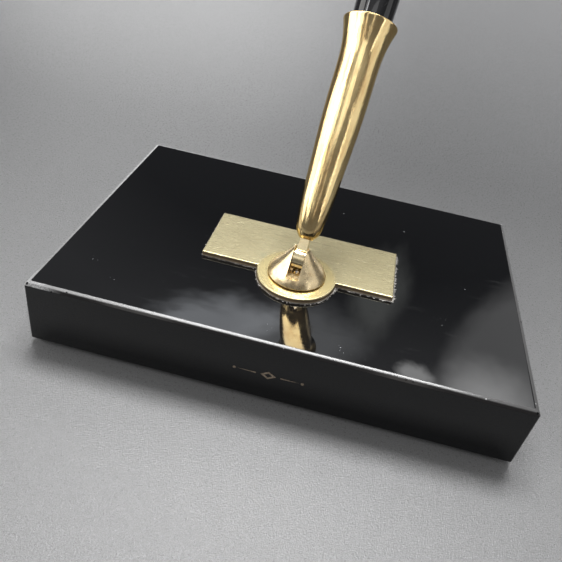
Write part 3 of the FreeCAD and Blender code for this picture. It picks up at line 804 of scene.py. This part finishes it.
def front_ornament(material):
    """Small generic ornament on the front: a lozenge between two tapered lines and dots."""
    outlines = [lozenge(*LOZENGE)]
    for sign in (-1, 1):
        root, tip = sign * TAPER_ROOT, sign * TAPER_TIP
        outlines.append([(root, -TAPER_HALF_WIDTH), (tip, 0), (root, TAPER_HALF_WIDTH)])
        outlines.append(arc((sign * DOT_PLACE, 0), DOT_RADIUS, 0, 345, 23))
    shape = bmesh.new()
    for outline in outlines:
        mark = bpy.data.meshes.new("mark")
        part = prism(outline, -ORNAMENT_THICKNESS, ORNAMENT_THICKNESS)
        part.to_mesh(mark)
        part.free()
        shape.from_mesh(mark)
        bpy.data.meshes.remove(mark)
    shape = combined(shape, [prism(lozenge(*LOZENGE_HOLE), -OVERCUT, OVERCUT)])
    place = Matrix.Translation((0, SLAB_LOW.y, ORNAMENT_HEIGHT))
    moved(shape, place @ Matrix.Rotation(math.pi / 2, 4, "X"))
    add_piece("front_ornament", shape, BASE, "base", [material])


# ---- turret -------------------------------------------------------------------------------------

def turret(material):
    """Bell with its slot, pocket, pin hole and ball bore, on its threaded stem."""
    round_centre = (BELL_RADIUS - BELL_ROUND, BELL_FOOT + BELL_ROUND)
    ear_centre = (EAR_RADIUS - BELL_ROUND, BELL_TOP - BELL_ROUND)
    outline = [(0, STEM_FOOT), (STEM_RADIUS - THREAD_DEPTH, STEM_FOOT)]
    outline += thread(STEM_RADIUS, STEM_FOOT + THREAD_DEPTH, THREAD_TOP) + [(STEM_RADIUS, BELL_FOOT)]
    outline += arc(round_centre, BELL_ROUND, -90, 0, steps=6) + smooth(BELL_FLANK, steps=10)[1:]
    outline += arc(ear_centre, BELL_ROUND, 0, 90, steps=6)[1:] + [(0, BELL_TOP)]
    slot = block(SLOT_WIDTH, 3 * BELL_RADIUS, SLOT_FLOOR, BELL_TOP + OVERCUT)
    pocket = shifted(cross_rod(POCKET_RADIUS, SLOT_WIDTH / 2), 0, 0, PIVOT_HEIGHT)
    pin_hole = shifted(cross_rod(PIN_RADIUS, BELL_RADIUS, segments=48), 0, 0, PIVOT_HEIGHT)
    bore = rod(BALL_BORE, BALL_BORE_FOOT, PIVOT_HEIGHT, segments=64)
    shape = combined(lathe(outline), [slot, pocket, pin_hole, bore])
    shape = softened(shape, BELL_ARRIS, segments=2, angle=40)
    add_piece("turret_bell", shape, TURRET, "turret", [material], ["swivel_turret"])


def ball(material):
    """Steel ball with the small flat that the knuckle has worn on it."""
    height = box_mm("friction_ball")[0].z + BALL_RADIUS
    outline = arc((0, height), BALL_RADIUS, -90, BALL_FLAT_ANGLE, steps=40)
    shape = lathe(outline + [(0, outline[-1][1])], segments=64)
    add_piece("steel_ball", shape, TURRET, "turret", [material], ["friction_ball"])


# ---- socket -------------------------------------------------------------------------------------

def tongue(material):
    """Round knuckle, tapered square shank and the spigot into the trumpet."""
    knuckle = cross_rod(KNUCKLE_RADIUS, KNUCKLE_WIDTH / 2, segments=96)
    shank = block(KNUCKLE_WIDTH, KNUCKLE_WIDTH, 0, SHANK_TOP)
    for vertex in shank.verts:
        if vertex.co.z > 0:
            vertex.co.x *= SHANK_TOP_SIZE[0] / KNUCKLE_WIDTH
            vertex.co.y *= SHANK_TOP_SIZE[1] / KNUCKLE_WIDTH
    spigot = rod(SPIGOT_RADIUS, SHANK_TOP - OVERCUT, SPIGOT_TOP, segments=48)
    shape = combined(knuckle, [shank, spigot], "UNION")
    shape = combined(shape, [cross_rod(PIN_RADIUS + PIN_HOLE_GAP, KNUCKLE_WIDTH, segments=48)])
    shape = softened(shape, TONGUE_ARRIS, segments=3, angle=30)
    add_piece("socket_tongue", shape, SOCKET, "socket", [material], ["tongue"])


def trumpet(material):
    """Thin gold trumpet with a rolled rim, closed at its foot but for the spigot's hole."""
    mouth = TRUMPET[-1][0]
    bore = [(radius - SHELL_WALL, s) for radius, s in TRUMPET[2:-1]]
    bore = [(TRUMPET[1][0] - SHELL_WALL, SHELL_FLOOR)] + bore + [(mouth - SHELL_LIP, SHELL_MOUTH)]
    rim = arc((mouth - SHELL_LIP / 2, SHELL_MOUTH), SHELL_LIP / 2, 0, 180)
    hole = SPIGOT_RADIUS + CLEARANCE
    outline = [(hole, TRUMPET[0][1])] + smooth(TRUMPET, steps=14) + rim[1:-1]
    outline += smooth(bore, steps=14)[::-1] + [(hole, SHELL_FLOOR)]
    add_piece("trumpet_shell", lathe(outline, segments=256), SOCKET, "socket", [material],
              ["socket_shell"], crease=40)


# ---- pen ----------------------------------------------------------------------------------------

def grip(material):
    """Waisted grip with a rounded lip, and its tenon into the barrel."""
    lip = arc((GRIP[0][0] - SECTION_LIP, GRIP[0][1]), SECTION_LIP, -90, 0, steps=5)
    outline = [(SECTION_BORE, PEN_SEAT)] + lip[:-1] + smooth(GRIP, steps=12)
    outline += [(TENON_RADIUS, SECTION_TOP), (TENON_RADIUS, TENON_TOP), (SECTION_THROAT, TENON_TOP),
                (SECTION_THROAT, NIB_ROOT), (SECTION_BORE, NIB_ROOT)]
    add_piece("pen_grip", lathe(outline), SOCKET, "pen", [material], ["pen_section"])


def ring(material):
    """Thin gilt ring between grip and barrel, rounded on its outside."""
    inner, centre = TENON_RADIUS + CLEARANCE, RING_RADIUS - RING_ROUND
    outline = [(inner, SECTION_TOP)]
    outline += arc((centre, SECTION_TOP + RING_ROUND), RING_ROUND, -90, 0, steps=4)
    outline += arc((centre, BARREL_FOOT - RING_ROUND), RING_ROUND, 0, 90, steps=4)
    outline.append((inner, BARREL_FOOT))
    add_piece("gilt_ring", lathe(outline), SOCKET, "pen", [material], ["trim_ring"])


def barrel(material):
    """Long barrel that swells above the socket and draws out to a round-ended tail."""
    radius, foot = BARREL[-1]
    rise = BARREL_TOP - foot
    curve = (radius ** 2 + rise ** 2) / (2 * rise)
    start = math.degrees(math.asin((foot - BARREL_TOP + curve) / curve))
    tenon_bore, tenon_end = TENON_RADIUS + CLEARANCE, TENON_TOP + TENON_PLAY
    outline = smooth(BARREL, steps=16)[:-1]
    outline += arc((0, BARREL_TOP - curve), curve, start, 90, steps=12)[:-1]
    outline += [(0, BARREL_TOP), (0, BARREL_BORE_TOP), (BARREL_BORE, BARREL_BORE_TOP - BARREL_BORE),
                (BARREL_BORE, tenon_end), (tenon_bore, tenon_end), (tenon_bore, BARREL_FOOT)]
    add_piece("desk_pen_barrel", lathe(outline), SOCKET, "pen", [material], ["pen_barrel"])


def nib(material):
    """Curved gold sheet over the feed, narrowed to a point, with its slit and breather hole."""
    def cone(root, tip):
        return lathe([(0, NIB_TIP), (tip, NIB_TIP), (root, PEN_SEAT), (root, NIB_ROOT), (0, NIB_ROOT)],
                     segments=128)

    outer = SECTION_BORE - CLEARANCE
    sheet = combined(cone(outer, NIB_TIP_RADIUS), [cone(outer - NIB_WALL, NIB_TIP_RADIUS - NIB_WALL)])
    tip = NIB_TIP_RADIUS / 2
    blank = prism([(-tip, NIB_TIP), (tip, NIB_TIP),
                   (NIB_HALF_WIDTH, NIB_SHOULDER), (NIB_HALF_WIDTH, NIB_ROOT),
                   (-NIB_HALF_WIDTH, NIB_ROOT), (-NIB_HALF_WIDTH, NIB_SHOULDER)], 0, 2 * SECTION_BORE)
    moved(blank, Matrix.Rotation(math.pi / 2, 4, "X"))
    sheet = combined(sheet, [blank], "INTERSECT")
    hole = moved(rod(NIB_HOLE_RADIUS, 0, 2 * SECTION_BORE, segments=32),
                 Matrix.Rotation(math.pi / 2, 4, "X"))
    slit = shifted(block(NIB_SLIT, 2 * SECTION_BORE, NIB_TIP - OVERCUT, NIB_HOLE), 0, -SECTION_BORE, 0)
    sheet = combined(sheet, [shifted(hole, 0, 0, NIB_HOLE), slit])
    sheet = softened(sheet, NIB_ARRIS, segments=2, angle=40)
    add_piece("gold_nib", sheet, SOCKET, "pen", [material], ["pen_nib"])


# ---- CAD nodes that stay ------------------------------------------------------------------------

def dress_nodes():
    """Materials for the small pieces whose CAD shape is already right."""
    steel = plain_metal("steel", (0.62, 0.62, 0.64), (0.44, 0.44, 0.46), 0.2)
    nut = plain_metal("nut_brass", (0.78, 0.64, 0.34), (0.56, 0.43, 0.22), 0.25)
    pin = plain_metal("pin_brass", (0.88, 0.71, 0.40), (0.76, 0.58, 0.31), 0.14)
    fibre = plain_plastic("fibre", (0.11, 0.055, 0.035), (0.06, 0.03, 0.02), 0.6)
    nylon = plain_plastic("nylon", (0.035, 0.035, 0.038), (0.02, 0.02, 0.022), 0.4)
    rubber = plain_plastic("seal_rubber", (0.025, 0.025, 0.025), (0.012, 0.012, 0.012), 0.7)
    feed = plain_plastic("feed_black", (0.018, 0.018, 0.018), (0.01, 0.01, 0.01), 0.45)
    ink = plain_plastic("cartridge_plastic", (0.03, 0.05, 0.18), (0.02, 0.03, 0.12), 0.3)
    bed = plain_plastic("glue_bed", (0.42, 0.40, 0.36), (0.24, 0.23, 0.20), 0.5)
    finishes = {"pivot_pin": pin, "friction_spring": steel, "steel_washer": steel, "dished_washer": steel,
                "shell_washer": steel, "clamp_nut": nut, "lock_nut": nut, "shell_nut": nut,
                "thrust_washer": fibre, "fibre_washer": fibre, "swivel_bush": nylon, "socket_liner": nylon,
                "liner_seal": rubber, "pen_feed": feed, "ink_cartridge": ink, "plate_adhesive": bed}
    for node, material in finishes.items():
        mesh = frame["nodes"][node].data
        mesh.materials.clear()
        mesh.materials.append(material)


# ---- surroundings, in metres --------------------------------------------------------------------

LENS_MM = 37.56
NEAREST = 0.01
VIEWPOINT = (0.0094656, -0.167029, 0.1331425)
VIEW_TURN = (0.9162, -0.1477, 0.2054)

# Floor: half its width, and the Y in millimetres between which painted shade darkens it
FLOOR_REACH = 3.0
FLOOR_PAINTED_SHADE = (-60, 150)

# Walls at the far side and elsewhere: (elevation, radiance). They join where a direction's Y is this.
FAR_WALL = [(0, 1.5), (10, 1.5), (14, 0.3), (20, 0.06), (36, 0.06), (50, 0.30), (90, 0.40)]
NEAR_WALL = [(0, 0.16), (20, 0.14), (38, 0.24), (52, 0.50), (90, 0.40)]
WALL_JOIN = (0.70, 0.82)
WALL_BLUENESS = 1.02

WHITE = (1.0, 1.0, 1.0)

# Lamps: name, azimuth, elevation, distance, (width, height), radiance, colour
LAMPS = [("overhead", -6, 71, 1.0, (0.68, 0.32), 21.0, WHITE),
         ("left_window", -92, 22, 1.0, (0.68, 0.66), 2.6, (1.0, 0.985, 0.95)),
         ("left_strip", -128, 34, 1.0, (0.50, 0.52), 1.7, WHITE),
         ("left_tube", -122, 36, 0.95, (0.08, 0.50), 7.0, WHITE),
         ("right_strip", 99, 19, 1.0, (0.78, 0.52), 0.66, WHITE),
         ("right_tube", 123, 22, 0.98, (0.05, 0.50), 3.0, WHITE),
         ("near_fill", 178, 50, 1.1, (0.5, 0.3), 0.9, WHITE)]

# Glowing cards: name, azimuth, elevation, (width, height), radiance, colour, softness, raggedness
CARD_DISTANCE = 1.5
CARDS = [("room_left", -160, 34, (0.34, 0.90), 1.0, (1.0, 0.97, 0.92), 0.6, 0.7),
         ("room_middle", 168, 31, (0.24, 0.90), 0.8, (1.0, 0.95, 0.90), 0.6, 0.7),
         ("far_window", -21, 15, (1.4, 0.26), 4.0, WHITE, 0.5, 0.1),
         ("left_patch", -14, 43.5, (0.58, 0.24), 2.2, (0.90, 0.94, 1.0), 0.7, 0.4),
         ("middle_patch", -1, 44, (0.54, 0.32), 0.9, (0.94, 0.97, 1.0), 0.7, 0.3),
         ("grey_patch", 8, 37, (0.23, 0.40), 0.55, (0.96, 1.0, 0.95), 0.8, 0.3),
         ("right_patch", 26.5, 38, (0.40, 0.60), 0.7, WHITE, 0.45, 0.2),
         ("corner_patch", 27, 42.5, (0.42, 0.30), 2.7, WHITE, 0.9, 0.2),
         ("edge_patch", 16.5, 43.6, (0.16, 0.09), 3.0, WHITE, 0.7, 0.3)]


def floor():
    """Plain pale desk with a fine leathery grain and a soft gloss, and painted shade that darkens it toward
    the back.
    """
    made = Finish("floor", own_spot=False)
    pores = made.cells(2.6, "Distance", "SMOOTH_F1")
    mottle = made.grain(1.1, 4, 0.65)
    height = made.maths("ADD", made.times(pores, 0.7), made.grain(4.0, 4, 0.7))
    # painted shade: the floor's colour darkens toward the back, standing in for light that falls off there
    painted_falloff = made.range(made.axis(1), *FLOOR_PAINTED_SHADE)
    shade = made.blend(painted_falloff, (0.208, 0.209, 0.210), (0.086, 0.087, 0.088))
    dark_grain = made.range(made.grain(3.6, 3, 0.8), 0.3, 0.7, 0.55, 0.0)
    shade = made.blend(dark_grain, shade, (0.02, 0.02, 0.02))
    made.set(Base_Color=shade, Roughness=made.range(mottle, 0.3, 0.7, 0.26, 0.34), IOR=1.55,
             Normal=made.bump(height, 0.09, 0.9))
    desk = bpy.data.objects.new("floor", flat_square("floor", FLOOR_REACH, made.material))
    bpy.context.scene.collection.objects.link(desk)


def flat_square(name, reach, material):
    """Mesh of one face, reaching that far from its middle along X and along Y."""
    mesh = bpy.data.meshes.new(name)
    corners = [(-reach, -reach, 0), (reach, -reach, 0), (reach, reach, 0), (-reach, reach, 0)]
    mesh.from_pydata(corners, [], [(0, 1, 2, 3)])
    mesh.materials.append(material)
    return mesh


def facing(name, data, azimuth, elevation, distance):
    """Object out of the camera's sight that faces the origin. Azimuth is from +Y toward +X, in degrees."""
    a, e = math.radians(azimuth), math.radians(elevation)
    toward = Vector((math.sin(a) * math.cos(e), math.cos(a) * math.cos(e), math.sin(e)))
    thing = bpy.data.objects.new(name, data)
    thing.location = toward * distance
    thing.rotation_euler = toward.to_track_quat("Z", "Y").to_euler()
    thing.visible_camera = False
    bpy.context.scene.collection.objects.link(thing)
    return thing


def softbox(name, azimuth, elevation, distance, size, radiance, colour):
    """Area lamp, whose radiance is what a mirror shows."""
    lamp = bpy.data.lights.new(name, "AREA")
    lamp.shape = "RECTANGLE"
    lamp.size, lamp.size_y = size
    lamp.energy = radiance * math.pi * size[0] * size[1]
    lamp.color = colour
    facing(name, lamp, azimuth, elevation, distance)


def glow(name, azimuth, elevation, size, radiance, colour, soft, ragged):
    """Card with a bright patch, seen only in the gloss: soft and ragged are shares of the patch's radius."""
    made = Finish(name, own_spot=False)
    tree = made.tree
    place = made.add("ShaderNodeTexCoord").outputs["Object"]
    reach = made.add("ShaderNodeVectorMath", {0: place}, operation="LENGTH").outputs[1]
    wobble = made.times(made.maths("SUBTRACT", made.grain(1.3, 3, 0.6, place), 0.5), 2 * ragged)
    fade = made.range(made.maths("ADD", reach, wobble), 1 - soft, 1 - ragged / 2, 1.0, 0.0)
    shine = made.add("ShaderNodeEmission", {0: colour, 1: made.times(fade, radiance)})
    both = made.add("ShaderNodeAddShader")
    tree.links.new(shine.outputs[0], both.inputs[0])
    tree.links.new(made.add("ShaderNodeBsdfTransparent").outputs[0], both.inputs[1])
    tree.links.new(both.outputs[0], tree.nodes["Material Output"].inputs["Surface"])
    card = facing(name, flat_square(name, 1.0, made.material), azimuth, elevation, CARD_DISTANCE)
    card.scale = (size[0] / 2, size[1] / 2, 1)
    card.visible_shadow = False


def surround():
    """Studio walls as a soft gradient: pale low down at the far side, dark above that, and dim overhead."""
    world = bpy.data.worlds.new("studio")
    bpy.context.scene.world = world
    world.use_nodes = True
    tree = world.node_tree
    spot = tree.nodes.new("ShaderNodeTexCoord").outputs["Generated"]
    parts = tree.nodes.new("ShaderNodeSeparateXYZ")
    tree.links.new(spot, parts.inputs[0])
    walls = []
    for stops in (FAR_WALL, NEAR_WALL):
        ramp = tree.nodes.new("ShaderNodeValToRGB")
        tree.links.new(parts.outputs[2], ramp.inputs[0])
        while len(ramp.color_ramp.elements) < len(stops):
            ramp.color_ramp.elements.new(0.5)
        for element, (elevation, radiance) in zip(ramp.color_ramp.elements, stops):
            element.position = max(0.0, math.sin(math.radians(elevation)))
            element.color = (radiance, radiance, radiance * WALL_BLUENESS, 1)
        walls.append(ramp.outputs[0])
    side = tree.nodes.new("ShaderNodeMapRange")
    side.inputs[1].default_value, side.inputs[2].default_value = WALL_JOIN
    tree.links.new(parts.outputs[1], side.inputs[0])
    mix = tree.nodes.new("ShaderNodeMix")
    mix.data_type = "RGBA"
    tree.links.new(side.outputs[0], mix.inputs[0])
    tree.links.new(walls[1], mix.inputs[6])
    tree.links.new(walls[0], mix.inputs[7])
    tree.links.new(mix.outputs[2], tree.nodes["Background"].inputs["Color"])


def camera():
    """Camera in front of the slab and above it, looking down at the swivel."""
    data = bpy.data.cameras.new("camera")
    data.lens = LENS_MM
    data.clip_start = NEAREST
    viewer = bpy.data.objects.new("camera", data)
    viewer.location = VIEWPOINT
    viewer.rotation_euler = Euler(VIEW_TURN)
    bpy.context.scene.collection.objects.link(viewer)
    bpy.context.scene.camera = viewer


def lights():
    for lamp in LAMPS:
        softbox(*lamp)
    for card in CARDS:
        glow(*card)


# ---- the object ---------------------------------------------------------------------------------

camera()
surround()
lights()
floor()

glass_slab(black_glass(), ground_glass())
felt_sheet(felt())
brass_plate(brushed_brass())
glue_bead(glue())
front_ornament(gilt_mark())

turret(bright_brass("turret_brass", (0.92, 0.74, 0.45), (0.76, 0.57, 0.32), 0.22))
ball(plain_metal("ball_steel", (0.66, 0.66, 0.68), (0.5, 0.5, 0.52), 0.08, own_spot=True))

tongue(bright_brass("tongue_brass", (0.94, 0.80, 0.50), (0.78, 0.60, 0.33), 0.16))
gold = gold_plate()
trumpet(gold)

black = pen_black()
grip(black)
ring(gold)
barrel(black)
nib(bright_brass("nib_gold", (0.95, 0.75, 0.38), (0.85, 0.62, 0.30), 0.1))

dress_nodes()

bpy.context.scene.view_settings.view_transform = "Standard"
